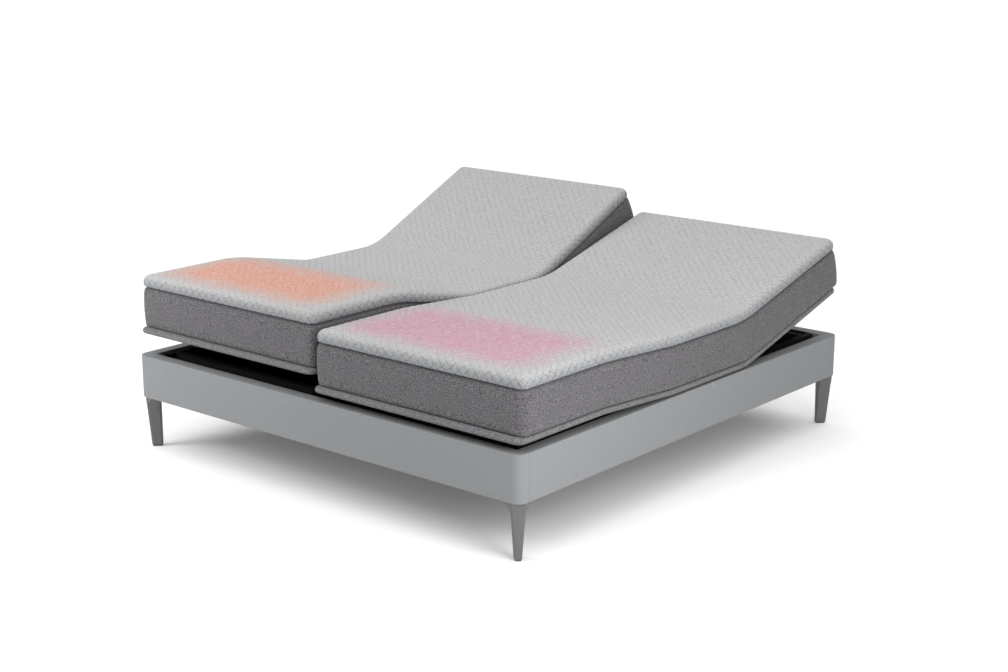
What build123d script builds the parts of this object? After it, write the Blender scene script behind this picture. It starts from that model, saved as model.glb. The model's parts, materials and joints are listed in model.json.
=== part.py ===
from build123d import *
import os
from math import cos, radians, sin, tan

# Adjustable bed: two single bases side by side inside one surround, each with its own mattress.
# Frame: +Z up, +Y towards the head, the origin on the floor at the middle of the surround.
# Every moving section is drawn flat and then turned into its stored, partly raised position.

# surround
surround_width = 1930.0
surround_length = 2032.0
rail_top = 374.0
rail_bottom = 205.0
rail_thickness = 51.0
corner_radius = 36.0
rail_edge_radius = 3.0
seam_chamfer = 1.6
liner_thickness = 3.0

clip_width = 14.0
clip_y = 90.0
clip_drop = 15.0
clip_sheet = 1.6
clip_reach = 8.0

# legs
leg_inset = 37.0
leg_setback = 2.0
leg_edge_radius = 7.0
flare_steps = 9
leg_depth_top = 56.0
leg_depth_bottom = 42.0
leg_width_top = 46.0
leg_width_bottom = 26.0
leg_flare_width = 98.0
leg_flare_height = 45.0
leg_foot_chamfer = 1.5
glide_height = 4.0

# middle beam
beam_half = 20.0
beam_bottom = 225.0
beam_top = 325.0
beam_wall = 2.5
center_leg_y = (-400.0, 400.0)

# padded deck sections and mattress
bed_inner = 3.0
bed_outer = 963.0
deck_end = 1012.0
deck_bottom = 377.5
deck_top = 403.5
deck_corner_radius = 35.0
deck_edge_radius = 8.0
mattress_gap = 0.5
mattress_height = 203.0
mattress_inner = 6.0
mattress_outer = 962.0
mattress_foot = -995.0
mattress_head = 1037.0
mattress_corner_radius = 45.0

# hinge lines across each bed
section_gap = 12.0
back_hinge_y = 330.0
thigh_hinge_y = -150.0
knee_hinge_y = -560.0
hinge_z = 397.0
knee_z = 383.5
back_travel = 60.0
thigh_travel = 40.0

# stored angles above flat, in degrees, for each side
stored = {"right": (15.0, 3.4), "left": (25.5, 11.2)}

# steel chassis under each bed
tube_bottom = 325.0
tube_top = 377.0
tube_wall = 3.0
inner_tube = (40.0, 70.0)
outer_tube = (860.0, 890.0)
tube_end = 940.0
cross_tube_y = (-900.0, 90.0, 900.0)
cross_tube_bottom = 337.0
cross_tube_width = 30.0
chassis_seat_y = (-600.0, 60.0, 600.0)
seat_half = 20.0
outer_seat = (330.0, 370.0)
inner_seat_bottom = 319.0

# lift mechanism
pivot_z = 343.5
head_pivot_y = 270.0
leg_pivot_y = -90.0
head_arm = 320.0
leg_arm = 260.0
head_lift_ratio = 0.7635
leg_lift_ratio = 0.7177
head_arm_flat = 2.06
leg_arm_flat = 2.53
arm_elbow = 84.0
head_arm_dip = 44.0
leg_arm_dip = 24.0
arm_offset = 150.0
roller_radius = 22.0
roller_width = 30.0
torque_tube_radius = 16.0
crank_length = 70.0
crank_pin_radius = 6.0
slot_clearance = 1.5
slot_rise = 6.0
rod_radius = 10.0
rod_length = 150.0
actuator_offset = 80.0
actuator_tube_radius = 20.0
gearbox_half = 34.0
gearbox_rise = 30.0
motor_radius = 28.0
motor_end = 215.0
lug_half = 12.0

# control unit
box_x = (620.0, 800.0)
box_y = (20.0, 160.0)
box_bottom = 285.0

# parallel links that keep the foot section level
link_drop = 45.0
link_width = 24.0
link_thickness = 6.0
link_pin_radius = 6.0

# small parts
shaft_clearance = 0.06
bolt_radius = 4.0
bolt_head_radius = 7.0
bolt_head_height = 5.0
bolt_bite = 22.0
bolt_clearance = 0.5
hinge_pin_radius = 2.5
hinge_eye_radius = 5.5
leaf_thickness = 3.0

os.makedirs("parts", exist_ok=True)

half_width = surround_width / 2
half_length = surround_length / 2
bed_middle = (inner_tube[1] + outer_tube[0]) / 2
x_axis = (1, 0, 0)


def block(x0, x1, y0, y1, z0, z1):
    """A box between two corners."""
    return Pos((x0 + x1) / 2, (y0 + y1) / 2, (z0 + z1) / 2) * Box(x1 - x0, y1 - y0, z1 - z0)


def rod_x(x0, x1, y, z, radius):
    """A round bar along X."""
    return Pos((x0 + x1) / 2, y, z) * Rot(0, 90, 0) * Cylinder(radius, x1 - x0)


def rod_y(x, y0, y1, z, radius):
    """A round bar along Y."""
    return Pos(x, (y0 + y1) / 2, z) * Rot(90, 0, 0) * Cylinder(radius, y1 - y0)


def plate_x(outline, x0, x1):
    """A flat plate of thickness x0 to x1 whose outline is given as (y, z) points."""
    wire = Polyline(*[(x0, y, z) for y, z in outline], close=True)
    return extrude(make_face(wire), amount=x1 - x0, dir=x_axis)


def bar_between(x0, x1, start, end, width):
    """A flat link with round ends between two (y, z) points."""
    (y0, z0), (y1, z1) = start, end
    length = ((y1 - y0) ** 2 + (z1 - z0) ** 2) ** 0.5
    side = ((z0 - z1) / length * width / 2, (y1 - y0) / length * width / 2)
    outline = [
        (y0 + side[0], z0 + side[1]),
        (y1 + side[0], z1 + side[1]),
        (y1 - side[0], z1 - side[1]),
        (y0 - side[0], z0 - side[1]),
    ]
    bar = plate_x(outline, x0, x1)
    return bar + rod_x(x0, x1, y0, z0, width / 2) + rod_x(x0, x1, y1, z1, width / 2)


def turned(shape, y, z, degrees):
    """The shape turned about a line along X through (y, z)."""
    return shape.rotate(Axis((0, y, z), x_axis), degrees)


def solids_in(shape):
    """Every solid in a shape or a list of shapes."""
    if isinstance(shape, (list, tuple)):
        return [solid for item in shape for solid in solids_in(item)]
    return list(shape.solids())


def write(name, *shapes):
    """One sub-part, as one STEP file of separate solids."""
    export_step(Compound(children=solids_in(shapes)), f"parts/{name}.step")


def mirrored(shapes, sign):
    """The shapes as drawn on the right bed, or their mirror image for the left bed."""
    found = solids_in(shapes)
    if sign > 0:
        return found
    return [solid.mirror(Plane.YZ) for solid in found]


# ---------------------------------------------------------------- surround


def end_rail(sign):
    """The foot or head rail: full width, rounded outer corners, chamfered where the side rails butt."""
    rail = block(-half_width, half_width, half_length - rail_thickness, half_length, rail_bottom, rail_top)
    corners = rail.edges().filter_by(Axis.Z).group_by(Axis.Y)[-1]
    rail = fillet(corners, corner_radius)
    outer = [e for e in rail.edges().group_by(Axis.Z)[-1] if e.center().Y > half_length - corner_radius]
    rail = fillet(outer, rail_edge_radius)
    lower = [e for e in rail.edges().group_by(Axis.Z)[0] if e.center().Y > half_length - corner_radius]
    rail = fillet(lower, rail_edge_radius)
    joint_y = half_length - rail_thickness
    joints = [e for e in rail.edges().filter_by(Axis.Z) if abs(e.center().Y - joint_y) < 0.01]
    rail = chamfer(joints, seam_chamfer)
    return rail if sign > 0 else rail.mirror(Plane.XZ)


def side_rail(sign):
    """A side rail between the end rails, with a fine chamfer where it butts against them."""
    end = half_length - rail_thickness
    rail = block(half_width - rail_thickness, half_width, -end, end, rail_bottom, rail_top)
    outer = rail.edges().filter_by(Axis.Y).group_by(Axis.X)[-1]
    rail = fillet(outer, rail_edge_radius)
    ends = rail.edges().filter_by(Axis.Z).group_by(Axis.X)[-1]
    rail = chamfer(ends, seam_chamfer)
    return rail if sign > 0 else rail.mirror(Plane.YZ)


def leg_section(z, width, depth_out):
    """A rounded rectangle at height z: width across the diagonal, reaching depth_out outwards."""
    depth = leg_depth_top / 2 + depth_out
    middle = (depth_out - leg_depth_top / 2) / 2
    return Pos(middle, 0, z) * RectangleRounded(depth, width, leg_edge_radius)


def leg():
    """One leg at the head end of the right side: a fin set on the diagonal, flared under the rail."""
    flare_start = rail_bottom - leg_flare_height
    slant = (leg_depth_top - leg_depth_bottom) / (rail_bottom - glide_height)

    def reach(z):
        return leg_depth_top / 2 - slant * (rail_bottom - z)

    shaft = loft(
        [
            leg_section(glide_height, leg_width_bottom, reach(glide_height)),
            leg_section(flare_start, leg_width_top, reach(flare_start)),
        ],
        ruled=True,
    )
    sections = []
    for step in range(flare_steps + 1):
        share = step / flare_steps
        z = flare_start + leg_flare_height * share
        width = leg_width_top + (leg_flare_width - leg_width_top) * share**2
        sections.append(leg_section(z, width, reach(z)))
    body = shaft + loft(sections, ruled=True)
    body = chamfer(body.edges().group_by(Axis.Z)[0], leg_foot_chamfer)
    placed = Pos(half_width - leg_inset, half_length - leg_inset, 0) * Rot(0, 0, 45) * body
    x1, y1 = half_width - leg_setback, half_length - leg_setback
    side = 200.0
    under_rail = block(x1 - side, x1, y1 - side, y1, -10, rail_bottom + 10)
    upright = under_rail.edges().filter_by(Axis.Z)
    outer = [e for e in upright if e.center().X > x1 - 1 and e.center().Y > y1 - 1]
    return placed & fillet(outer, corner_radius - leg_setback)


def glide():
    """The plastic glide under one leg."""
    middle = -(leg_depth_top - leg_depth_bottom) / 2
    pad = Pos(middle, 0, glide_height / 2) * Box(leg_depth_bottom - 8, leg_width_bottom - 6, glide_height)
    pad = fillet(pad.edges().filter_by(Axis.Z), 4.0)
    return Pos(half_width - leg_inset, half_length - leg_inset, 0) * Rot(0, 0, 45) * pad


def at_corners(shape):
    """The four mirrored copies of a shape drawn at the +X, +Y corner, by corner name."""
    left = shape.mirror(Plane.YZ)
    return {
        "head_right": shape,
        "head_left": left,
        "foot_right": shape.mirror(Plane.XZ),
        "foot_left": left.mirror(Plane.XZ),
    }


bracket_arm = 60.0
bracket_sheet = 3.0
bracket_bottom = 230.0
bracket_height = 120.0
bolt_heights = (255.0, 325.0)
inner_x = half_width - rail_thickness
inner_y = half_length - rail_thickness


def corner_bracket():
    """An angle of folded sheet in the inside corner, drilled for its bolts."""
    top = bracket_bottom + bracket_height
    along_x = block(inner_x - bracket_arm, inner_x, inner_y - bracket_sheet, inner_y, bracket_bottom, top)
    along_y = block(inner_x - bracket_sheet, inner_x, inner_y - bracket_arm, inner_y, bracket_bottom, top)
    bracket = along_x + along_y
    for z in bolt_heights:
        bracket -= rod_y(inner_x - bracket_arm / 2, inner_y - 10, inner_y + 10, z, bolt_radius + bolt_clearance)
        bracket -= rod_x(inner_x - 10, inner_x + 10, inner_y - bracket_arm / 2, z, bolt_radius + bolt_clearance)
    return bracket


def corner_bolts():
    """The wood screws through one corner bracket, with flanged heads."""
    screws = []
    for z in bolt_heights:
        x = inner_x - bracket_arm / 2
        shank = rod_y(x, inner_y - bracket_sheet, inner_y + bolt_bite, z, bolt_radius)
        head = rod_y(x, inner_y - bracket_sheet - bolt_head_height, inner_y - bracket_sheet, z, bolt_head_radius)
        screws.append(shank + head)
        y = inner_y - bracket_arm / 2
        shank = rod_x(inner_x - bracket_sheet, inner_x + bolt_bite, y, z, bolt_radius)
        head = rod_x(inner_x - bracket_sheet - bolt_head_height, inner_x - bracket_sheet, y, z, bolt_head_radius)
        screws.append(shank + head)
    return screws


def rail_liners():
    """Dark boards on the inner faces of the rails, and the two dust panels underneath."""
    clear = bracket_arm + 2
    top = rail_top - 2
    low = rail_bottom + 2
    side = block(inner_x - liner_thickness, inner_x, -inner_y + clear, inner_y - clear, low, top)
    end = block(-inner_x + clear, inner_x - clear, inner_y - liner_thickness, inner_y, low, top)
    panel = block(25, inner_x - 8, -inner_y + 8, inner_y - 8, low, low + liner_thickness)
    return [side, side.mirror(Plane.YZ), end, end.mirror(Plane.XZ), panel, panel.mirror(Plane.YZ)]


def center_support():
    """The lengthwise beam between the beds and its two legs."""
    end = inner_y - liner_thickness
    beam = block(-beam_half, beam_half, -end, end, beam_bottom, beam_top)
    beam = fillet(beam.edges().filter_by(Axis.Y), 4.0)
    hollow = beam_half - beam_wall
    beam -= block(-hollow, hollow, -end - 1, end + 1, beam_bottom + beam_wall, beam_top - beam_wall)
    legs = []
    for y in center_leg_y:
        post = block(-beam_half, beam_half, y - beam_half, y + beam_half, glide_height, beam_bottom)
        post = fillet(post.edges().filter_by(Axis.Z), 5.0)
        post -= block(-hollow, hollow, y - hollow, y + hollow, glide_height + beam_wall, beam_bottom + 1)
        legs.append(post)
    return [beam, *legs]


def center_glides():
    """The glides under the middle legs."""
    return [block(-16, 16, y - 16, y + 16, 0, glide_height) for y in center_leg_y]


def cover_clip():
    """A small round-ended clip over the outer top edge of the right rail."""
    y0, y1 = clip_y - clip_width / 2, clip_y + clip_width / 2
    face = block(half_width, half_width + clip_sheet, y0, y1, rail_top - clip_drop, rail_top + clip_sheet)
    lower = face.edges().filter_by(Axis.X).group_by(Axis.Z)[0]
    face = fillet(lower, clip_width / 2 - 0.5)
    lip = block(half_width - clip_reach, half_width + 0.5, y0, y1, rail_top, rail_top + clip_sheet)
    return face + lip


write("foot_rail", end_rail(-1))
write("head_rail", end_rail(1))
write("side_rail_right", side_rail(1))
write("side_rail_left", side_rail(-1))
for corner, shape in at_corners(leg()).items():
    write(f"leg_{corner}", shape)
write("leg_glides", list(at_corners(glide()).values()), center_glides())
write("corner_brackets", list(at_corners(corner_bracket()).values()))
screw_sets = [at_corners(screw) for screw in corner_bolts()]
write("corner_screws", [copy for corner_set in screw_sets for copy in corner_set.values()])
write("rail_liners", rail_liners())
write("center_support", center_support())
write("cover_clip", cover_clip())

# ---------------------------------------------------------------- chassis


def tube_along_y(x_range, y0, y1, z0, z1):
    """A rectangular tube along Y, open at both ends."""
    outer = block(*x_range, y0, y1, z0, z1)
    bore = block(x_range[0] + tube_wall, x_range[1] - tube_wall, y0 - 1, y1 + 1, z0 + tube_wall, z1 - tube_wall)
    return outer - bore


def tube_along_x(x0, x1, y, width, z0, z1):
    """A rectangular tube along X, open at both ends."""
    outer = block(x0, x1, y - width / 2, y + width / 2, z0, z1)
    y0 = y - width / 2 + tube_wall
    y1 = y + width / 2 - tube_wall
    bore = block(x0 - 1, x1 + 1, y0, y1, z0 + tube_wall, z1 - tube_wall)
    return outer - bore


link_pivot = (thigh_hinge_y, hinge_z - link_drop)
spigot_radius = 8.0


def chassis():
    """Side tubes, cross tubes and spacers of one base, with bearing holes and link pins."""
    inner = tube_along_y(inner_tube, -tube_end, tube_end, tube_bottom, tube_top)
    outer = tube_along_y(outer_tube, -tube_end, tube_end, tube_bottom, tube_top)
    for y in (head_pivot_y, leg_pivot_y):
        bore = spigot_radius + shaft_clearance
        inner -= rod_x(inner_tube[1] - tube_wall - 1, inner_tube[1] + 1, y, pivot_z, bore)
        outer -= rod_x(outer_tube[0] - 1, outer_tube[0] + tube_wall + 1, y, pivot_z, bore)
    y, z = link_pivot
    inner += rod_x(inner_tube[1] - 1, inner_tube[1] + 16, y, z, link_pin_radius)
    inner += rod_x(inner_tube[1] + 15, inner_tube[1] + 18, y, z, link_pin_radius + 4)
    outer += rod_x(outer_tube[0] - 16, outer_tube[0] + 1, y, z, link_pin_radius)
    outer += rod_x(outer_tube[0] - 18, outer_tube[0] - 15, y, z, link_pin_radius + 4)
    cross = [
        tube_along_x(inner_tube[1], outer_tube[0], y, cross_tube_width, cross_tube_bottom, tube_top)
        for y in cross_tube_y
    ]
    seats = []
    for y in chassis_seat_y:
        seats.append(block(outer_tube[1], inner_x - liner_thickness, y - seat_half, y + seat_half, *outer_seat))
        seats.append(
            block(beam_half, inner_tube[1], y - seat_half, y + seat_half, inner_seat_bottom, tube_bottom)
        )
    return [inner, outer, *cross, *seats]


# ---------------------------------------------------------------- hinges

hinge_places = (bed_middle - 280, bed_middle, bed_middle + 280)
knuckle = 12.0
leaf_length = 34.0


def hinge_half(y, z, toward, with_pin):
    """Half of a hinge at each place along the line: leaf, webs and knuckles on the given side."""
    halves = []
    gap = section_gap / 2 + 2
    leaf_top = deck_bottom - 0.3
    for x in hinge_places:
        if with_pin:
            spans = [(x - 1.5 * knuckle, x - 0.5 * knuckle - 0.3), (x + 0.5 * knuckle + 0.3, x + 1.5 * knuckle)]
        else:
            spans = [(x - 0.5 * knuckle, x + 0.5 * knuckle)]
        edges = sorted((y + toward * gap, y + toward * (gap + leaf_length)))
        half = block(x - 1.5 * knuckle, x + 1.5 * knuckle, *edges, leaf_top - leaf_thickness, leaf_top)
        for x0, x1 in spans:
            near = sorted((y + toward * 2.7, y + toward * 5.5))
            foot = sorted((y + toward * 2.7, y + toward * (gap + 1)))
            half += block(x0, x1, *near, leaf_top - leaf_thickness, z)
            half += block(x0, x1, *foot, leaf_top - leaf_thickness, leaf_top - 0.01)
            half += rod_x(x0, x1, y, z, hinge_eye_radius)
        if with_pin:
            half += rod_x(x - 1.5 * knuckle, x + 1.5 * knuckle, y, z, hinge_pin_radius)
        else:
            half -= rod_x(x - 2 * knuckle, x + 2 * knuckle, y, z, hinge_pin_radius + shaft_clearance)
        halves.append(half)
    return halves


# ---------------------------------------------------------------- deck and mattress sections


def deck_panel(y0, y1, rounded):
    """A padded deck section; rounded is -1 or 1 where an end has round corners in plan, or 0."""
    panel = block(bed_inner, bed_outer, y0, y1, deck_bottom, deck_top)
    if rounded:
        end = -1 if rounded > 0 else 0
        panel = fillet(panel.edges().filter_by(Axis.Z).group_by(Axis.Y)[end], deck_corner_radius)
    cut_ends = [y for y, end in ((y0, -1), (y1, 1)) if end != rounded]
    top = panel.edges().group_by(Axis.Z)[-1]
    soft = [e for e in top if all(abs(e.center().Y - y) > 0.01 for y in cut_ends)]
    return fillet(soft, deck_edge_radius)


def cushion(low, high, rounded):
    """A mattress section; low and high are its ends, each (y, lean in degrees) at the hinge line."""
    z0 = deck_top + mattress_gap
    z1 = deck_top + mattress_height
    low_y, low_lean = low
    high_y, high_lean = high
    rise0 = z0 - hinge_z
    rise1 = z1 - hinge_z
    outline = [
        (low_y + rise0 * tan(radians(low_lean)), z0),
        (high_y - rise0 * tan(radians(high_lean)), z0),
        (high_y - rise1 * tan(radians(high_lean)), z1),
        (low_y + rise1 * tan(radians(low_lean)), z1),
    ]
    pad = plate_x(outline, mattress_inner, mattress_outer)
    if rounded:
        end = -1 if rounded > 0 else 0
        pad = fillet(pad.edges().filter_by(Axis.Z).group_by(Axis.Y)[end], mattress_corner_radius)
    return pad


# ---------------------------------------------------------------- lift arms and actuators


def lift_arm(pivot_y, length, toward, crank_x):
    """A torque tube with two arms, roller pins and a crank, drawn pointing along Y at angle zero."""
    tube = rod_x(inner_tube[1] + 0.5, outer_tube[0] - 0.5, pivot_y, pivot_z, torque_tube_radius)
    tube -= rod_x(inner_tube[1] + 12, outer_tube[0] - 12, pivot_y, pivot_z, torque_tube_radius - 3)
    tube += rod_x(inner_tube[1] - tube_wall - 3, inner_tube[1] + 1, pivot_y, pivot_z, spigot_radius)
    tube += rod_x(outer_tube[0] - 1, outer_tube[0] + tube_wall + 3, pivot_y, pivot_z, spigot_radius)
    tip = (pivot_y + toward * length, pivot_z)
    dip = head_arm_dip if toward > 0 else leg_arm_dip
    elbow = (pivot_y + toward * arm_elbow, pivot_z - dip)
    for x in (bed_middle - arm_offset, bed_middle + arm_offset):
        tube += bar_between(x - 4, x + 4, (pivot_y, pivot_z), elbow, 22.0)
        tube += bar_between(x - 4, x + 4, elbow, tip, 22.0)
        tube += rod_x(x - 4, x + 6 + roller_width, tip[0], tip[1], 6.0)
        tube += rod_x(x + 5.5 + roller_width, x + 9 + roller_width, tip[0], tip[1], 9.0)
    swing = 0.5 * (head_lift_ratio * back_travel if toward > 0 else leg_lift_ratio * thigh_travel)
    flat_angle = head_arm_flat if toward > 0 else leg_arm_flat
    lean = radians(swing + flat_angle)
    hang = (pivot_y - toward * sin(lean) * torque_tube_radius, pivot_z - cos(lean) * torque_tube_radius)
    pin = (pivot_y - toward * sin(lean) * crank_length, pivot_z - cos(lean) * crank_length)
    tube += bar_between(crank_x - 5, crank_x + 5, hang, pin, 26.0)
    tube += rod_x(crank_x - 16, crank_x + 16, pin[0], pin[1], crank_pin_radius)
    return tube


def rollers(pivot_y, length, toward):
    """The two rollers on one lift arm."""
    wheels = []
    for x in (bed_middle - arm_offset, bed_middle + arm_offset):
        y = pivot_y + toward * length
        wheel = rod_x(x + 4.8, x + 4.8 + roller_width - 0.2, y, pivot_z, roller_radius)
        wheel = fillet(wheel.edges(), 2.0)
        wheel -= rod_x(x, x + 10 + roller_width, y, pivot_z, 6.0 + shaft_clearance)
        wheels.append(wheel)
    return wheels


actuator_z = pivot_z - crank_length
middle_y = cross_tube_y[1]


def actuator(x, toward):
    """Motor, gearbox and outer tube of one actuator; toward is the way its rod pushes along Y."""

    def at(distance):
        return middle_y + toward * distance

    def span(a, b):
        return sorted((at(a), at(b)))

    sides = (x - gearbox_half, x + gearbox_half)
    tube = rod_y(x, *span(-30, 100), actuator_z, actuator_tube_radius)
    gearbox = block(*sides, *span(-100, -29), actuator_z - gearbox_half, actuator_z + gearbox_rise)
    gearbox = fillet(gearbox.edges().filter_by(Axis.Y), 8.0)
    motor = rod_y(x, *span(-motor_end, -99), actuator_z - 2, motor_radius)
    lug_y = (middle_y - lug_half, middle_y + lug_half)
    lug = block(x - lug_half, x + lug_half, *lug_y, actuator_z + 10, cross_tube_bottom)
    body = tube + gearbox + motor + lug
    body -= rod_y(x, *span(-22, 101), actuator_z, rod_radius + 0.3)
    return body


def actuator_rod(x, toward, pin_y):
    """The sliding rod and its slotted fork, drawn about the crank pin's place."""
    pin_z = actuator_z + crank_length * (1 - cos(radians(23.0))) / 2
    rod = rod_y(x, *sorted((pin_y - toward * 24, pin_y - toward * rod_length)), actuator_z, rod_radius)
    bridge = block(x - 17, x + 17, *sorted((pin_y - toward * 32, pin_y - toward * 22)), pin_z - 14, pin_z + 14)
    fork = rod + bridge
    for side in (-1, 1):
        inner, outer = sorted((x + side * 8, x + side * 15))
        ear = block(inner, outer, *sorted((pin_y - toward * 23, pin_y + toward * 14)), pin_z - 19, pin_z + 19)
        slot_radius = crank_pin_radius + slot_clearance
        slot = block(inner - 1, outer + 1, pin_y - slot_radius, pin_y + slot_radius, pin_z - slot_rise, pin_z + slot_rise)
        slot += rod_x(inner - 1, outer + 1, pin_y, pin_z - slot_rise, slot_radius)
        slot += rod_x(inner - 1, outer + 1, pin_y, pin_z + slot_rise, slot_radius)
        fork += ear - slot
    return fork


def pin_travel(pivot_y, toward, lift, travel, raised):
    """The crank pin's place along Y on the straight line between its two ends of travel."""
    swing = radians(lift * travel / 2)
    reach = crank_length * sin(swing)
    return pivot_y + toward * reach * (2 * raised / travel - 1)


def control_box():
    """The control unit under the fixed section, with its cord gland."""
    case = block(*box_x, *box_y, box_bottom, cross_tube_bottom - 1)
    case = fillet(case.edges(), 6.0)
    gland_x, gland_z = box_x[1] - 30, box_bottom + 25
    case += rod_y(gland_x, box_y[1] - 1, box_y[1] + 8, gland_z, 12.0)
    case += rod_y(gland_x, box_y[1] + 7, box_y[1] + 20, gland_z, 8.5)
    return case


def foot_links():
    """The two links from the chassis to the foot section, drawn flat."""
    far = (knee_hinge_y, knee_z - link_drop)
    links = []
    for x0 in (inner_tube[1] + 8, outer_tube[0] - 8 - link_thickness):
        link = bar_between(x0, x0 + link_thickness, link_pivot, far, link_width)
        link -= rod_x(x0 - 1, x0 + link_thickness + 1, *link_pivot, link_pin_radius + shaft_clearance)
        link -= rod_x(x0 - 1, x0 + link_thickness + 1, *far, link_pin_radius + 0.6)
        links.append(link)
    return links


def foot_brackets():
    """Plates and pins under the foot section that the links carry."""
    y, z = knee_hinge_y, knee_z - link_drop
    sets = []
    for toward, x in ((1, inner_tube[1] + 17), (-1, outer_tube[0] - 17)):
        faces = sorted((x, x + toward * 4))
        plate = plate_x(
            [(y - 60, deck_bottom), (y - 6, deck_bottom), (y + 13, z), (y, z - 13), (y - 16, z - 8)], *faces
        )
        ends = sorted((x + toward, x - toward * 11))
        plate += rod_x(*ends, y, z, link_pin_radius)
        sets.append(plate)
    return sets


# ---------------------------------------------------------------- one side


def build_side(side, sign):
    """Every node of one bed, in its stored position."""
    back, thigh = stored[side]
    gap = section_gap / 2
    back_lean = back_travel / 2 + 0.6
    thigh_lean = thigh_travel / 2 + 0.6
    knee = (knee_hinge_y - thigh_hinge_y, knee_z - hinge_z)
    swing = radians(-thigh)
    foot_dy = knee[0] * cos(swing) - knee[1] * sin(swing) - knee[0]
    foot_dz = knee[0] * sin(swing) + knee[1] * cos(swing) - knee[1]

    def save(name, shapes):
        write(f"{side}_{name}", mirrored(shapes, sign))

    def with_back(shapes):
        return [turned(s, back_hinge_y, hinge_z, back) for s in solids_in(shapes)]

    def with_thigh(shapes):
        return [turned(s, thigh_hinge_y, hinge_z, -thigh) for s in solids_in(shapes)]

    def with_foot(shapes):
        return [Pos(0, foot_dy, foot_dz) * s for s in solids_in(shapes)]

    save("chassis", chassis())
    save("control_box", control_box())
    save("seat_deck", deck_panel(thigh_hinge_y + gap, back_hinge_y - gap, 0))
    save("seat_mattress", cushion((thigh_hinge_y, thigh_lean), (back_hinge_y, back_lean), 0))
    seat_hinges = hinge_half(back_hinge_y, hinge_z, -1, True) + hinge_half(thigh_hinge_y, hinge_z, 1, True)
    save("seat_hinges", seat_hinges)

    save("back_deck", with_back(deck_panel(back_hinge_y + gap, deck_end, 1)))
    save("back_mattress", with_back(cushion((back_hinge_y, back_lean), (mattress_head, 0), 1)))
    save("back_hinges", with_back(hinge_half(back_hinge_y, hinge_z, 1, False)))

    save("thigh_deck", with_thigh(deck_panel(knee_hinge_y + gap, thigh_hinge_y - gap, 0)))
    save("thigh_mattress", with_thigh(cushion((knee_hinge_y + 1, 0), (thigh_hinge_y, thigh_lean), 0)))
    thigh_hinges = hinge_half(thigh_hinge_y, hinge_z, -1, False) + hinge_half(knee_hinge_y, knee_z, 1, True)
    save("thigh_hinges", with_thigh(thigh_hinges))

    save("foot_deck", with_foot(deck_panel(-deck_end, knee_hinge_y - gap, -1)))
    save("foot_mattress", with_foot(cushion((mattress_foot, 0), (knee_hinge_y - 1, 0), -1)))
    save("foot_hinges", with_foot([*hinge_half(knee_hinge_y, knee_z, -1, False), *foot_brackets()]))
    save("foot_links", [turned(s, *link_pivot, -thigh) for s in foot_links()])

    places = (
        ("head", head_pivot_y, head_arm, 1, head_lift_ratio, back_travel, back, head_arm_flat, -actuator_offset),
        ("leg", leg_pivot_y, leg_arm, -1, leg_lift_ratio, thigh_travel, thigh, leg_arm_flat, actuator_offset),
    )
    for name, y, arm, toward, lift, travel, raised, flat_angle, offset in places:
        angle = toward * (flat_angle + lift * raised)
        x = bed_middle + offset
        save(f"{name}_lift_arm", turned(lift_arm(y, arm, toward, x), y, pivot_z, angle))
        save(f"{name}_rollers", [turned(s, y, pivot_z, angle) for s in rollers(y, arm, toward)])
        save(f"{name}_actuator", actuator(x, toward))
        save(f"{name}_actuator_rod", actuator_rod(x, toward, pin_travel(y, toward, lift, travel, raised)))


build_side("right", 1)
build_side("left", -1)
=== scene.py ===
import json
import math

import bpy
import numpy as np
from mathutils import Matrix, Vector


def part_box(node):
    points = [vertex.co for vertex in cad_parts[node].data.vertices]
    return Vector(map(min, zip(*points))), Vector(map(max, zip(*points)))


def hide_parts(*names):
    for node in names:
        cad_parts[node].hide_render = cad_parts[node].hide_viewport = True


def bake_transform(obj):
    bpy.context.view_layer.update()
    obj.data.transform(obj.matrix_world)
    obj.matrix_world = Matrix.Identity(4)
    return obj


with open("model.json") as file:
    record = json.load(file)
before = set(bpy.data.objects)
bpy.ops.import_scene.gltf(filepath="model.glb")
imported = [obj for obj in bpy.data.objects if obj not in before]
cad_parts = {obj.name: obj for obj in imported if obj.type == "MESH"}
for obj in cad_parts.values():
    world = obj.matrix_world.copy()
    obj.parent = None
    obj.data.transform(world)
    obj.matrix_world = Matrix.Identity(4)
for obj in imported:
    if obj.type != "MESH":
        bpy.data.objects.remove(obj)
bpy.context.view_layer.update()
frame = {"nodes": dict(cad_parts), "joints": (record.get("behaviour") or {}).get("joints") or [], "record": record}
scene = bpy.context.scene
joints = {joint["name"]: joint for joint in frame["joints"]}
print("frame loaded with", len(frame["nodes"]), "nodes")


# how the two beds bend

backLine = joints["right_back_raise"]["pos_m"][1]     # flat lengths of the hinge lines
thighLine = joints["right_thigh_raise"]["pos_m"][1]
kneeLine = -0.560
headCut = 0.090          # where the soft pieces of one bed meet
footCut = -0.355
lineEnd, lineStep = 1.2, 0.001
firmBend = 0.25          # radius of the bends at the bottom of the padding
topBend = {"right": 0.75, "left": 0.56}
topDepth = 0.15          # height over which the bend opens from firm to top


def storedAngle(side, joint):
    return -math.radians(joints[side + "_" + joint]["range_deg"][0])


def smooth(value):
    value = np.clip(value, 0.0, 1.0)
    return value * value * (3 - 2 * value)


# side view of a bed with rounded bends: flat length, y, rise and slope
def bedLine(side, radius):
    back, thigh = storedAngle(side, "back_raise"), storedAngle(side, "thigh_raise")
    length = np.arange(-lineEnd, lineEnd, lineStep)

    def turned(at, angle):
        return np.clip((length - at) / (radius * angle) + 0.5, 0.0, 1.0)

    slope = back * turned(backLine, back)
    slope += thigh * (turned(thighLine, thigh) - turned(kneeLine, thigh))
    y = np.cumsum(np.cos(slope)) * lineStep
    rise = np.cumsum(np.sin(slope)) * lineStep
    seat = np.searchsorted(length, headCut)
    return length, y - y[seat] + headCut, rise - rise[seat], slope


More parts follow.
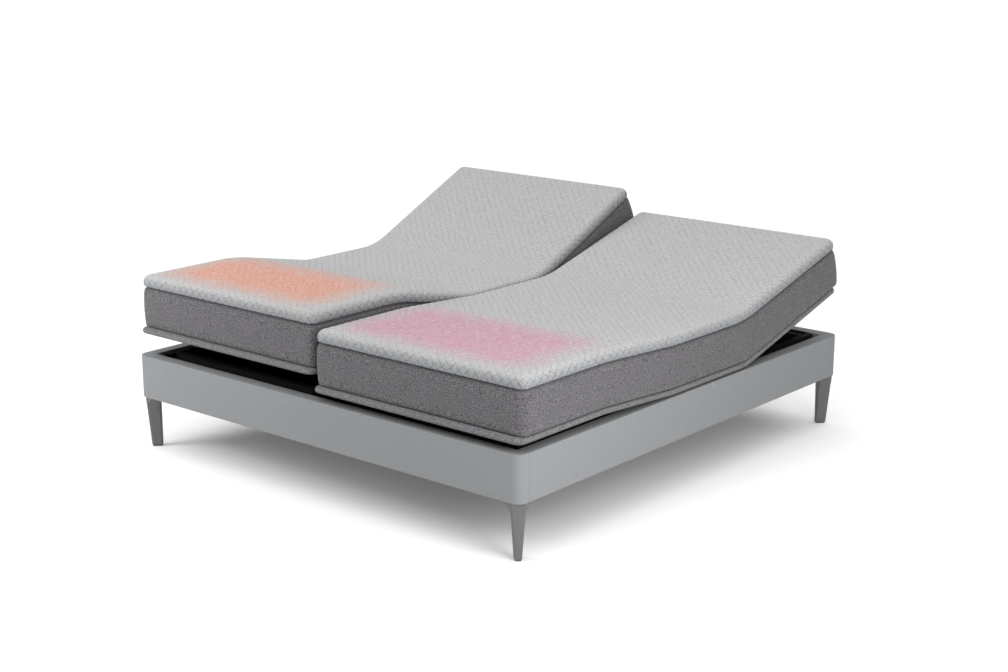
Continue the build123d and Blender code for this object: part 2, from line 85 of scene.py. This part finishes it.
# takes points from the flat bed to the stored pose; topRadius is the wider turn of the top
def bendPoints(flat, side, base, topRadius):
    across, along, up = flat.T
    length, firmY, firmRise = bedLine(side, firmBend)[:3]
    softY, softRise, slope = bedLine(side, topRadius)[1:]
    share = smooth(up / topDepth)
    angle = np.interp(along, length, slope)
    y = np.interp(along, length, firmY) * (1 - share) + np.interp(along, length, softY) * share
    z = np.interp(along, length, firmRise) * (1 - share) + np.interp(along, length, softRise) * share
    y = y - up * np.sin(angle)
    z = z + base + up * np.cos(angle)
    sign = 1.0 if side == "right" else -1.0
    return np.column_stack([across * sign, y, z])


# a soft rectangular slab with rounded corners, cut into three pieces

# the core cell and the way outwards from it, once round the slab
def outline(countX, countY, fan, square):
    steps = []

    def corner(i, j, start):
        for n in range(1, fan):
            turn = start + n / fan * math.pi / 2
            wayX, wayY = math.cos(turn), math.sin(turn)
            stretch = (abs(wayX) ** square + abs(wayY) ** square) ** (-1 / square)
            steps.append((i, j, wayX * stretch, wayY * stretch))

    steps += [(i, 0, 0.0, -1.0) for i in range(countX + 1)]
    corner(countX, 0, -math.pi / 2)
    steps += [(countX, j, 1.0, 0.0) for j in range(countY + 1)]
    corner(countX, countY, 0.0)
    steps += [(i, countY, 0.0, 1.0) for i in range(countX, -1, -1)]
    corner(0, countY, math.pi / 2)
    steps += [(0, j, -1.0, 0.0) for j in range(countY, -1, -1)]
    corner(0, 0, math.pi)
    return steps


# flat points, faces with their cell along the bed and ring, and the ring of each point
def slabMesh(shape):
    lowX, highX, lowY, highY = shape["plan"]
    corner, fan = shape["corner"], shape["fan"]
    countX, countY = shape["cells"]
    profile = shape["profile"]
    xs = np.linspace(lowX + corner, highX - corner, countX + 1)
    ys = np.linspace(lowY + corner, highY - corner, countY + 1)
    coreX, coreY = np.meshgrid(xs, ys, indexing="ij")
    core = np.column_stack([coreX.ravel(), coreY.ravel(), np.full(coreX.size, profile[0][1])])
    steps = outline(countX, countY, fan, shape["square"])
    loop = len(steps)
    start = np.array([[xs[i], ys[j]] for i, j, wayX, wayY in steps])
    way = np.array([[wayX, wayY] for i, j, wayX, wayY in steps])
    points, ring = [core], [np.zeros(len(core), int)]
    for number, (inset, height) in enumerate(profile[1:], 1):
        spot = start + way * (corner - inset)
        points.append(np.column_stack([spot, np.full(loop, height)]))
        ring.append(np.full(loop, number))

    def at(number, step):
        step %= loop
        if number == 0:
            return steps[step][0] * (countY + 1) + steps[step][1]
        return len(core) + (number - 1) * loop + step

    faces, cells, rings, phases = [], [], [], []
    for i in range(countX):
        for j in range(countY):
            a = i * (countY + 1) + j
            faces.append((a, a + countY + 1, a + countY + 2, a + 1))
            total, gap = i + j, i - j
            phases.append(((total, gap), (total + 1, gap + 1), (total + 2, gap), (total + 1, gap - 1)))
            cells.append(j)
            rings.append(0)
    last = len(profile) - 1
    for step in range(loop):
        cell = min(steps[step][1], steps[(step + 1) % loop][1], countY - 1)
        for number in range(last):
            corners = (at(number, step), at(number + 1, step), at(number + 1, step + 1), at(number, step + 1))
            face = tuple(dict.fromkeys(corners))
            total, gap = step + number, step - number
            phase = ((total, gap), (total + 1, gap - 1), (total + 2, gap), (total + 1, gap + 1))
            faces.append(face)
            phases.append(phase[:len(face)])
            cells.append(cell)
            rings.append(number + 1)
    rightSide = {steps[s][1]: s for s in range(loop) if steps[s][2] == 1.0}
    leftSide = {steps[s][1]: s for s in range(loop) if steps[s][2] == -1.0}
    for j in range(countY):
        faces.append((at(last, leftSide[j]), at(last, leftSide[j + 1]),
                      at(last, rightSide[j + 1]), at(last, rightSide[j])))
        phases.append(((0, 0),) * 4)
        cells.append(j)
        rings.append(last + 1)
    footEnd = [at(last, s) for s in range(rightSide[0], -1, -1)]
    footEnd += [at(last, s) for s in range(loop - 1, leftSide[0] - 1, -1)]
    headEnd = [at(last, s) for s in range(leftSide[countY], rightSide[countY] - 1, -1)]
    for end, cell in ((footEnd, 0), (headEnd, countY - 1)):
        faces.append(tuple(end))
        phases.append(((0, 0),) * len(end))
        cells.append(cell)
        rings.append(last + 1)

    # the cross-section at a cell line, as a loop that faces the foot end
    def section(j):
        top = [i * (countY + 1) + j for i in range(countX, -1, -1)]
        left = [at(n, leftSide[j]) for n in range(1, last + 1)]
        right = [at(n, rightSide[j]) for n in range(last, 0, -1)]
        return tuple(top + left + right)

    return {"flat": np.vstack(points), "ring": np.concatenate(ring), "faces": faces,
            "cells": np.array(cells), "rings": np.array(rings), "section": section, "lines": ys,
            "phases": phases, "loop": loop, "steps": steps}


# the three closed pieces of one slab, smooth across their cuts
def softPieces(name, side, slab, posed, attributes, faceSlot, materials):
    flip = side == "left"
    whole = bpy.data.meshes.new("whole")
    turned = [face[::-1] if flip else face for face in slab["faces"]]
    whole.from_pydata(posed.tolist(), [], turned)
    whole.update()
    normals = np.zeros(len(posed) * 3, np.float32)
    whole.vertex_normals.foreach_get("vector", normals)
    normals = normals.reshape(-1, 3)
    bpy.data.meshes.remove(whole)
    lines = slab["lines"]
    cuts = [0, int(np.argmin(abs(lines - footCut))), int(np.argmin(abs(lines - headCut))), len(lines) - 1]
    made = {}
    for part, first, stop in zip(("foot", "thigh", "back"), cuts[:-1], cuts[1:]):
        inside = np.nonzero((slab["cells"] >= first) & (slab["cells"] < stop))[0]
        faces = [turned[f] for f in inside]
        phases = [slab["phases"][f][::-1] if flip else slab["phases"][f] for f in inside]
        slots = [faceSlot(slab["rings"][f]) for f in inside]
        for line, away in ((first, False), (stop, True)):
            if 0 < line < len(lines) - 1:
                cap = slab["section"](line)
                faces.append(cap[::-1] if away != flip else cap)
                phases.append(((0, 0),) * len(cap))
                slots.append(slots[0])
        used = sorted({v for face in faces for v in face})
        place = {v: n for n, v in enumerate(used)}
        mesh = bpy.data.meshes.new(f"{side}_{part}_{name}_cover")
        mesh.from_pydata(posed[used].tolist(), [], [tuple(place[v] for v in face) for face in faces])
        for mat in materials:
            mesh.materials.append(mat)
        mesh.polygons.foreach_set("material_index", np.array(slots, np.int32))
        mesh.polygons.foreach_set("use_smooth", np.ones(len(faces), bool))
        for key, values in attributes.items():
            kind = "FLOAT_VECTOR" if values.ndim == 2 else "FLOAT"
            layer = mesh.attributes.new(key, kind, "POINT")
            layer.data.foreach_set("vector" if values.ndim == 2 else "value",
                                   values[used].astype(np.float32).ravel())
        lattice = mesh.attributes.new("lattice", "FLOAT_VECTOR", "CORNER")
        corners = [(a, b, 0.0) for phase in phases for a, b in phase]
        lattice.data.foreach_set("vector", np.array(corners, np.float32).ravel())
        mesh.update()
        cornerNormals = []
        for number, face in enumerate(faces):
            shown = number < len(inside)
            cornerNormals += [tuple(normals[v]) if shown else (0.0, 0.0, 0.0) for v in face]
        mesh.normals_split_custom_set(cornerNormals)
        piece = bpy.data.objects.new(mesh.name, mesh)
        scene.collection.objects.link(piece)
        made[part] = piece
    return made


# each piece bends over its own hinge line and stands for the CAD blocks under it
def hangPieces(made, side, kind):
    stands = {"back": ("back",), "thigh": ("seat", "thigh"), "foot": ("foot",)}
    for part, piece in made.items():
        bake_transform(piece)
        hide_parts(*[f"{side}_{node}_{kind}" for node in stands[part]])


# procedural materials

def add(tree, kind, inputs=None, **settings):
    made = tree.nodes.new(kind)
    for key, value in settings.items():
        setattr(made, key, value)
    for key, value in (inputs or {}).items():
        if isinstance(value, bpy.types.NodeSocket):
            tree.links.new(value, made.inputs[key])
        else:
            made.inputs[key].default_value = value
    return made


def calc(tree, operation, *values, clamp=False):
    inputs = dict(enumerate(values))
    return add(tree, "ShaderNodeMath", inputs, operation=operation, use_clamp=clamp).outputs[0]


def remap(tree, value, low, high, toLow=0.0, toHigh=1.0):
    inputs = {"Value": value, "From Min": low, "From Max": high, "To Min": toLow, "To Max": toHigh}
    return add(tree, "ShaderNodeMapRange", inputs).outputs[0]


def blendColour(tree, share, first, second, kind="MIX"):
    made = add(tree, "ShaderNodeMix", data_type="RGBA", blend_type=kind)
    for number, value in ((0, share), (6, first), (7, second)):
        if isinstance(value, bpy.types.NodeSocket):
            tree.links.new(value, made.inputs[number])
        else:
            made.inputs[number].default_value = value
    return made.outputs[2]


def rgb(*values):
    return (*values, 1.0)


def plain(name, colour, roughness, metallic=0.0, specular=0.5):
    mat = bpy.data.materials.new(name)
    mat.use_nodes = True
    shader = mat.node_tree.nodes["Principled BSDF"]
    shader.inputs["Base Color"].default_value = colour
    shader.inputs["Roughness"].default_value = roughness
    shader.inputs["Metallic"].default_value = metallic
    shader.inputs["Specular IOR Level"].default_value = specular
    return mat, mat.node_tree, shader


def objectPoint(tree):
    return add(tree, "ShaderNodeTexCoord").outputs["Object"]


def noise(tree, point, scale, detail=2.0, roughness=0.5):
    inputs = {"Vector": point, "Scale": scale, "Detail": detail, "Roughness": roughness}
    return add(tree, "ShaderNodeTexNoise", inputs).outputs["Fac"]


def bump(tree, shader, height, strength, distance, under=None):
    inputs = {"Height": height, "Strength": strength, "Distance": distance}
    if under is not None:
        inputs["Normal"] = under
    made = add(tree, "ShaderNodeBump", inputs).outputs["Normal"]
    tree.links.new(made, shader.inputs["Normal"])
    return made


# a surface with a slight uneven tone and a fine relief
def coated(name, colour, roughness, grain=0.04, grainScale=60.0, metallic=0.0, specular=0.5, relief=0.0):
    mat, tree, shader = plain(name, colour, roughness, metallic, specular)
    point = objectPoint(tree)
    tone = noise(tree, point, grainScale, 3.0)
    low = rgb(*[c * (1 - grain) for c in colour[:3]])
    high = rgb(*[c * (1 + grain) for c in colour[:3]])
    tree.links.new(blendColour(tree, remap(tree, tone, 0.3, 0.7), low, high), shader.inputs["Base Color"])
    rough = remap(tree, noise(tree, point, 25.0), 0.3, 0.7, roughness - 0.04, roughness + 0.04)
    tree.links.new(rough, shader.inputs["Roughness"])
    if relief:
        bump(tree, shader, noise(tree, point, 900.0, 2.0), relief, 0.0004)
    return mat


# grey fabric of mixed dark and light yarn
def melange(name, dark, light, thread, contrast, under=None):
    mat, tree, shader = plain(name, light, 0.95, 0.0, 0.15)
    point = add(tree, "ShaderNodeAttribute", attribute_name="flat").outputs["Vector"]
    fleck = noise(tree, point, thread, 2.5, 0.6)
    cloud = noise(tree, point, thread * 0.28, 1.0)
    mixed = calc(tree, "ADD", calc(tree, "MULTIPLY", fleck, 0.92), calc(tree, "MULTIPLY", cloud, 0.08))
    yarn = blendColour(tree, remap(tree, mixed, *contrast), dark, light)
    if under:
        # painted shade: the fabric darkens towards the underside
        height = add(tree, "ShaderNodeSeparateXYZ", {"Vector": point}).outputs[2]
        yarn = blendColour(tree, remap(tree, height, *under, 0.75, 0.0), yarn, rgb(0.03, 0.03, 0.031))
    tree.links.new(yarn, shader.inputs["Base Color"])
    weave = add(tree, "ShaderNodeTexVoronoi", {"Vector": point, "Scale": 420.0, "Randomness": 0.55})
    relief = bump(tree, shader, weave.outputs["Distance"], 0.5, 0.0008)
    bump(tree, shader, fleck, 0.35, 0.001, relief)
    shader.inputs["Sheen Weight"].default_value = 0.15
    return mat


finishes = {
    "rail_finish": coated("railPaint", rgb(0.232, 0.238, 0.244), 0.62, 0.025, 90.0,
                          specular=0.3, relief=0.12),
    "leg_finish": coated("legStain", rgb(0.135, 0.131, 0.136), 0.5, 0.04, 40.0,
                         specular=0.3, relief=0.08),
    "glide_plastic": coated("glidePlastic", rgb(0.03, 0.03, 0.03), 0.6, relief=0.1),
    # the black liner and black steel are darkened below their own colour as painted shade inside the base
    "black_liner": coated("blackLinerAndShade", rgb(0.005, 0.005, 0.0055), 0.9, 0.1, 50.0, specular=0.05, relief=0.2),
    "black_steel": coated("blackSteelAndShade", rgb(0.007, 0.007, 0.0075), 0.6, 0.1, 60.0, specular=0.15, relief=0.1),
    "zinc_steel": coated("zincSteel", rgb(0.55, 0.55, 0.53), 0.38, 0.06, 45.0, metallic=1.0),
    "clip_plastic": coated("clipPlastic", rgb(0.27, 0.275, 0.28), 0.45, 0.02, 60.0),
    "housing_plastic": coated("housingPlastic", rgb(0.022, 0.022, 0.024), 0.45, 0.08, 60.0, relief=0.15),
    "roller_plastic": coated("rollerPlastic", rgb(0.6, 0.6, 0.58), 0.35, 0.02, 60.0),
    "deck_fabric": coated("deckBoard", rgb(0.08, 0.08, 0.082), 0.9, 0.1, 200.0, relief=0.3),
    "mattress_fabric": coated("mattressCore", rgb(0.5, 0.5, 0.5), 0.9, 0.05, 200.0, relief=0.3),
}
for entry in frame["record"]["subparts"]:
    node = frame["nodes"][entry["node"]]
    node.data.materials.clear()
    node.data.materials.append(finishes[entry["material_slot"]])
print("finishes on the CAD nodes")


# the knit mattress top, with its warmed foot zone

knitCell = 6                     # mesh cells in one diamond of the knit
knitWide, knitLong = 144, 324    # mesh cells across and along, whole diamonds
rollRings, borderRings = 12, 11  # mesh loops down the roll and down the border
# the darkening of the knit from this loop towards the seam is painted shade
edgeStart = 3.5                  # loop from which the knit darkens towards the seam
mattress = {
    "low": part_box("right_seat_mattress")[0].z, "side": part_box("right_seat_mattress"),
    "foot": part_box("right_foot_mattress")[0].y, "corner": 0.037, "square": 2.5, "fullness": 0.83,
    "height": 0.203, "seam": 0.160, "length": 2.032, "overhang": 110.0, "puff": 0.0012, "crown": 0.003,
    "fan": 12, "rollInset": 0.002, "borderInset": 0.001, "belly": 0.0028, "borderFoot": 0.007,
    "reach": 0.17, "fill": 0.95,
    # inset and depth below the seam of the sunk groove, then inset and height of the lower edge
    "groove": ((0.0100, 0.0008), (0.0125, 0.0035), (0.0115, 0.0070),
               (0.0075, 0.0092), (0.0042, 0.0125), (0.0022, 0.0180)),
    "hem": ((0.0016, 0.006), (0.0035, 0.0025), (0.008, 0.0002), (0.018, -0.0012)),
}
# shade: the colour of the painted shade in the grooves and round the edge towards the seam
knitLook = {
    "light": rgb(0.445, 0.437, 0.437), "shade": rgb(0.165, 0.185, 0.198),
    "stitch": rgb(0.56, 0.50, 0.50), "fleck": rgb(0.83, 0.84, 0.845),
    "grooveWidth": 0.6, "edgeWidth": 0.9, "grooveDepth": 0.48, "edgeDepth": 0.08, "edgeShade": 0.58,
    "tint": 0.97, "stitchShare": 0.7, "streakShare": 0.85,
}


# how warm the knit looks: a soft-edged patch with a ragged, grainy border
def warmZone(tree, flat, zone):
    parts = add(tree, "ShaderNodeSeparateXYZ", {"Vector": flat}).outputs
    grain = noise(tree, flat, 140.0, 1.5)
    ragged = remap(tree, noise(tree, flat, 22.0, 2.0), 0.3, 0.7, -0.02, 0.02)
    x, y = calc(tree, "ADD", parts[0], ragged), calc(tree, "ADD", parts[1], ragged)
    left = remap(tree, x, *zone["near"])
    right = remap(tree, x, zone["far"][1], zone["far"][0])
    foot = remap(tree, y, *zone["foot"])
    head = remap(tree, y, zone["head"][1], zone["head"][0])
    soft = calc(tree, "MULTIPLY", calc(tree, "MULTIPLY", left, right), calc(tree, "MULTIPLY", foot, head))
    speck = calc(tree, "MULTIPLY", calc(tree, "SUBTRACT", grain, 0.5), 4.2)
    spread = calc(tree, "MULTIPLY", speck, calc(tree, "SUBTRACT", 1.1, soft))
    return calc(tree, "MULTIPLY", calc(tree, "ADD", soft, spread, clamp=True), remap(tree, soft, 0.0, 0.25))


def knitMaterial(name, zone):
    look = knitLook
    mat, tree, shader = plain(name, look["light"], 0.9, 0.0, 0.2)
    flat = add(tree, "ShaderNodeAttribute", attribute_name="flat").outputs["Vector"]
    lattice = add(tree, "ShaderNodeAttribute", attribute_name="lattice").outputs["Vector"]
    edge = add(tree, "ShaderNodeAttribute", attribute_name="edge").outputs["Fac"]
    phase = add(tree, "ShaderNodeSeparateXYZ", {"Vector": lattice}).outputs
    # the grooves between the diamonds, wider round the edge; their dark lines are partly the knit's own colour and
    # partly painted shade in the grooves, and painted shade darkens the knit round the edge towards the seam
    first = calc(tree, "PINGPONG", phase[0], knitCell / 2)
    second = calc(tree, "PINGPONG", phase[1], knitCell / 2)
    near = calc(tree, "MINIMUM", first, second)
    width = calc(tree, "ADD", calc(tree, "MULTIPLY", edge, look["edgeWidth"]), look["grooveWidth"])
    slope = calc(tree, "SUBTRACT", 1.0, calc(tree, "DIVIDE", near, width, clamp=True))
    groove = calc(tree, "POWER", slope, 1.5)
    dotted = remap(tree, noise(tree, flat, 140.0, 1.5), 0.40, 0.60, 0.0, 1.5)
    depth = calc(tree, "SUBTRACT", look["grooveDepth"], calc(tree, "MULTIPLY", edge, look["edgeDepth"]))
    dark = calc(tree, "MULTIPLY", calc(tree, "MULTIPLY", groove, dotted), depth, clamp=True)
    # painted shade: the knit darkens round the edge towards the seam
    dark = calc(tree, "ADD", dark, calc(tree, "MULTIPLY", edge, look["edgeShade"]), clamp=True)
    colour = blendColour(tree, dark, look["light"], look["shade"])
    warm = calc(tree, "MULTIPLY", warmZone(tree, flat, zone), look["tint"])
    # short pale stitches where the grooves cross, and pale streaks along one diagonal
    barWide, barLong = remap(tree, second, 0.3, 0.7, 1.0, 0.0), remap(tree, first, 1.2, 2.0, 1.0, 0.0)
    bar = calc(tree, "MULTIPLY", barWide, barLong)
    postWide, postLong = remap(tree, first, 0.3, 0.6, 1.0, 0.0), remap(tree, second, 0.6, 1.2, 1.0, 0.0)
    post = calc(tree, "MULTIPLY", postWide, postLong)
    some = remap(tree, noise(tree, flat, 38.0, 1.0), 0.44, 0.54)
    slant = {"Vector": flat, "Rotation": (0.0, 0.0, math.pi / 4), "Scale": (0.024, 0.0075, 1.0)}
    slanted = add(tree, "ShaderNodeMapping", slant, vector_type="TEXTURE").outputs[0]
    streak = remap(tree, noise(tree, slanted, 1.0, 1.0), 0.60, 0.66)
    tick = calc(tree, "MULTIPLY", calc(tree, "MAXIMUM", bar, post), some)
    tick = calc(tree, "MAXIMUM", tick, calc(tree, "MULTIPLY", streak, look["streakShare"]))
    colour = blendColour(tree, warm, colour, zone["colour"])
    pale = calc(tree, "MULTIPLY", calc(tree, "MULTIPLY", tick, look["stitchShare"]), warm)
    colour = blendColour(tree, pale, colour, look["stitch"])
    fleck = remap(tree, noise(tree, flat, 150.0, 1.5), 0.38, 0.62)
    colour = blendColour(tree, fleck, colour, look["fleck"], "MULTIPLY")
    tree.links.new(colour, shader.inputs["Base Color"])
    loops = add(tree, "ShaderNodeTexVoronoi", {"Vector": flat, "Scale": 330.0, "Randomness": 0.35})
    relief = bump(tree, shader, loops.outputs["Distance"], 0.3, 0.0008)
    bump(tree, shader, calc(tree, "SUBTRACT", 1.0, groove), 0.6, 0.0012, relief)
    shader.inputs["Sheen Weight"].default_value = 0.1
    return mat


lowX, highX = mattress["side"][0].x, mattress["side"][1].x
warmZones = {
    "right": {"near": (0.02, 0.15), "far": (0.78, 0.93), "foot": (-0.975, -0.84), "head": (-0.585, -0.43),
              "colour": rgb(0.495, 0.275, 0.345)},
    "left": {"near": (0.05, 0.20), "far": (0.83, 0.965), "foot": (-0.985, -0.83), "head": (-0.63, -0.43),
             "colour": rgb(0.605, 0.285, 0.205)},
}
yarnScale, yarnContrast = 270.0, (0.39, 0.61)
borderFabric = melange("borderFabric", rgb(0.048, 0.046, 0.049), rgb(0.187, 0.178, 0.188),
                       yarnScale, yarnContrast)
# the deck cover darkens towards its underside as painted shade
deckFabric = melange("deckCover", rgb(0.07, 0.068, 0.072), rgb(0.24, 0.236, 0.246),
                     yarnScale, yarnContrast, under=(-0.027, -0.013))
# the dust cloth under the beds, also used as painted shade in the mattress seam groove and round the deck's lower
# edge
dustClothAndShade = coated("dustClothAndShade", rgb(0.02, 0.02, 0.021), 0.95, 0.1, 300.0, specular=0.1, relief=0.3)


def mattressProfile():
    def full(value):
        return math.copysign(abs(value) ** mattress["fullness"], value)

    top, seam, rollInset = mattress["height"], mattress["seam"], mattress["rollInset"]
    rollWide = mattress["corner"] - rollInset
    tuck = math.radians(mattress["overhang"])       # the roll turns a little under itself at the seam
    rollHigh = (top - seam) / (1 - full(math.cos(tuck)))
    rings = [(mattress["corner"], top)]
    for n in range(1, rollRings + 1):
        turn = n / rollRings * tuck
        inset = rollInset + rollWide * (1 - full(math.sin(turn)))
        rings.append((inset, top - rollHigh * (1 - full(math.cos(turn)))))
    rings += [(inset, seam - depth) for inset, depth in mattress["groove"]]
    borderTop, borderFoot = rings[-1][1], mattress["borderFoot"]
    for n in range(1, borderRings + 1):
        share = n / (borderRings + 1)
        inset = mattress["borderInset"] - mattress["belly"] * math.sin(share * math.pi)
        rings.append((inset, borderTop * (1 - share) + borderFoot * share))
    return rings + list(mattress["hem"])


def buildMattress(side):
    slab = slabMesh({"plan": (lowX, highX, mattress["foot"], mattress["foot"] + mattress["length"]),
                     "corner": mattress["corner"], "square": mattress["square"], "fan": mattress["fan"],
                     "cells": (knitWide, knitLong), "profile": mattressProfile()})
    flat = slab["flat"].copy()
    ring, count = slab["ring"], len(slab["flat"])
    i = np.repeat(np.arange(knitWide + 1), knitLong + 1)
    j = np.tile(np.arange(knitLong + 1), knitWide + 1)
    coreCount = len(i)
    first, second = np.zeros(count), np.zeros(count)
    first[:coreCount], second[:coreCount] = i + j, i - j
    # round the edge the diamonds follow the outline
    steps, rounds = slab["steps"], (count - coreCount) // slab["loop"]
    rim = np.tile(np.arange(slab["loop"]), rounds)
    first[coreCount:] = rim + ring[coreCount:]
    second[coreCount:] = rim - ring[coreCount:]
    quilt = abs(np.sin(math.pi * first / knitCell)) * abs(np.sin(math.pi * second / knitCell))
    isKnit = ring <= rollRings
    # the diamonds flatten over the last loops before the seam
    onRoll = np.clip(1 - (ring - rollRings + 2) / 3.0, 0, 1) * isKnit
    turn = np.clip(ring / rollRings, 0, 1) * math.pi / 2
    outX, outY = np.zeros(count), np.zeros(count)
    way = np.array([[step[2], step[3]] for step in steps])
    outX[coreCount:], outY[coreCount:] = np.tile(way[:, 0], rounds), np.tile(way[:, 1], rounds)
    puff = mattress["puff"] * quilt * onRoll
    flat[:, 0] += outX * puff * np.sin(turn)
    flat[:, 1] += outY * puff * np.sin(turn)
    flat[:, 2] += puff * np.cos(turn)
    middle = (flat[:, 0] - lowX) / (highX - lowX)
    length = (flat[:, 1] - mattress["foot"]) / mattress["length"]
    arch = np.clip(np.sin(math.pi * length), 0.0, 1.0) ** 0.5
    crown = mattress["crown"] * np.sin(math.pi * middle) * arch
    flat[:, 2] += np.where(isKnit, crown, 0.0) * (flat[:, 2] > mattress["seam"])
    # the border waves very slightly
    wave = 0.0006 * np.sin(flat[:, 1] * 23 + flat[:, 0] * 17)
    wave += 0.0004 * np.sin(flat[:, 1] * 61 - flat[:, 0] * 43)
    onBorder = (ring > rollRings + len(mattress["groove"])) & (ring <= ring.max() - len(mattress["hem"]))
    flat[:, 0] += outX * wave * onBorder
    flat[:, 1] += outY * wave * onBorder
    # edge: how far painted shade darkens the knit towards the seam, and how much wider its grooves get
    edge = np.where(ring == 0, 0.0, smooth((ring - edgeStart) / (rollRings - edgeStart))) * isKnit
    posed = bendPoints(flat, side, mattress["low"], topBend[side])
    knit = knitMaterial(side + "Knit", warmZones[side])

    # knit, then the sunk groove in the near-black dust cloth as painted shade in the seam, then the border fabric,
    # with the dust cloth below
    def slot(number):
        if number <= rollRings:
            return 0
        return 1 if rollRings + 2 < number < slab["rings"].max() - 1 else 2

    made = softPieces("mattress", side, slab, posed, {"flat": slab["flat"], "edge": edge},
                      slot, [knit, borderFabric, dustClothAndShade])
    hangPieces(made, side, "mattress")
    print(side, "mattress", len(slab["faces"]), "faces")


# the padded deck covers under the mattresses

deck = {
    "box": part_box("right_seat_deck"), "ends": 1.012, "corner": 0.035, "cells": (48, 250),
    # clothRing: loop from which the dark dust cloth, partly painted shade, covers the lower edge
    "square": 2.0, "fan": 10, "drop": 0.003, "edgeRings": 8, "clothRing": 8,
    "upperInset": 0.010, "lowerInset": 0.020,     # the lower half of the edge draws in further
    "reach": 0.07, "fill": 0.9,
}


def deckProfile():
    thick = deck["box"][1].z - deck["box"][0].z
    drop, half = deck["drop"], thick / 2 - 0.0012
    rings = [(deck["corner"], -0.001), (0.014, -0.002)]
    count = deck["edgeRings"]
    for n in range(1, count + 1):
        turn = n / count * math.pi
        inset = deck["upperInset"] if n <= count / 2 else deck["lowerInset"]
        rings.append((inset * (1 - math.sin(turn)), half * (math.cos(turn) - 1) - drop))
    rings.append((0.026, 0.0025 - thick))     # clear of the chassis tubes
    return rings


def buildDeck(side):
    low, high = deck["box"]
    slab = slabMesh({"plan": (low.x, high.x, -deck["ends"], deck["ends"]), "corner": deck["corner"],
                     "square": deck["square"], "fan": deck["fan"], "cells": deck["cells"],
                     "profile": deckProfile()})
    posed = bendPoints(slab["flat"], side, high.z, firmBend)

    def slot(number):
        return 1 if number >= deck["clothRing"] else 0       # the dust cloth wraps round the lower edge, a dark band that is partly painted shade

    made = softPieces("deck", side, slab, posed, {"flat": slab["flat"]}, slot, [deckFabric, dustClothAndShade])
    hangPieces(made, side, "deck")
    print(side, "deck cover", len(slab["faces"]), "faces")


for side in ("right", "left"):
    buildMattress(side)
    buildDeck(side)


# floor, light and camera

floorSize, floorGlow = 60.0, 0.14
worldLight, worldSeen = 0.05, 1.0     # faint as a light, white to the camera beyond the floor
bpy.ops.mesh.primitive_plane_add(size=floorSize, location=(0, 0, 0))
floor = bpy.context.object
floor.name = "paleFloor"
floorPaint, floorShader = plain("paleFloor", rgb(0.82, 0.82, 0.82), 0.9, 0.0, 0.1)[::2]
floorShader.inputs["Emission Color"].default_value = rgb(1, 1, 1)
floorShader.inputs["Emission Strength"].default_value = floorGlow
floor.data.materials.append(floorPaint)

world = bpy.data.worlds.new("studio")
scene.world = world
world.use_nodes = True
background = world.node_tree.nodes["Background"]
background.inputs["Color"].default_value = rgb(1, 1, 1)
seen = add(world.node_tree, "ShaderNodeLightPath").outputs["Is Camera Ray"]
backdrop = remap(world.node_tree, seen, 0.0, 1.0, worldLight, worldSeen)
world.node_tree.links.new(backdrop, background.inputs["Strength"])


def softLight(name, spot, target, size, power):
    lamp = bpy.data.lights.new(name, "AREA")
    lamp.shape, lamp.size, lamp.size_y = "RECTANGLE", size[0], size[1]
    lamp.energy = power
    made = bpy.data.objects.new(name, lamp)
    made.location = spot
    made.rotation_mode = "QUATERNION"
    made.rotation_quaternion = (Vector(target) - Vector(spot)).to_track_quat("-Z", "Y")
    scene.collection.objects.link(made)


def skyLight(name, direction, spread, power):
    lamp = bpy.data.lights.new(name, "SUN")
    lamp.energy, lamp.angle = power, math.radians(spread)
    made = bpy.data.objects.new(name, lamp)
    made.rotation_mode = "QUATERNION"
    made.rotation_quaternion = (-Vector(direction)).to_track_quat("-Z", "Y")
    scene.collection.objects.link(made)


skyLight("topSky", (0.0, 0.0, 1.0), 100.0, 3.24)
skyLight("rightSky", (0.9, -0.35, 0.6), 50.0, 0.13)
softLight("footLamp", (-2.1, -2.7, 1.6), (-0.9, -1.0, 0.3), (1.2, 1.0), 41.0)
softLight("sideLamp", (2.75, -1.25, 1.25), (0.97, -0.7, 0.3), (1.2, 1.0), 32.5)

cameraSpot = Vector((4.2731, -5.0165, 2.1312))
azimuth, elevation = math.radians(40.14), math.radians(14.669)
backward = Vector((math.sin(azimuth) * math.cos(elevation), -math.cos(azimuth) * math.cos(elevation),
                   math.sin(elevation)))
lens = bpy.data.cameras.new("camera")
lens.lens, lens.sensor_width = 61.2, 36.0
camera = bpy.data.objects.new("camera", lens)
camera.location = cameraSpot
camera.rotation_mode = "QUATERNION"
camera.rotation_quaternion = (-backward).to_track_quat("-Z", "Y")
scene.collection.objects.link(camera)
scene.camera = camera
scene.view_settings.view_transform = "Standard"
print("floor, light and camera ready")
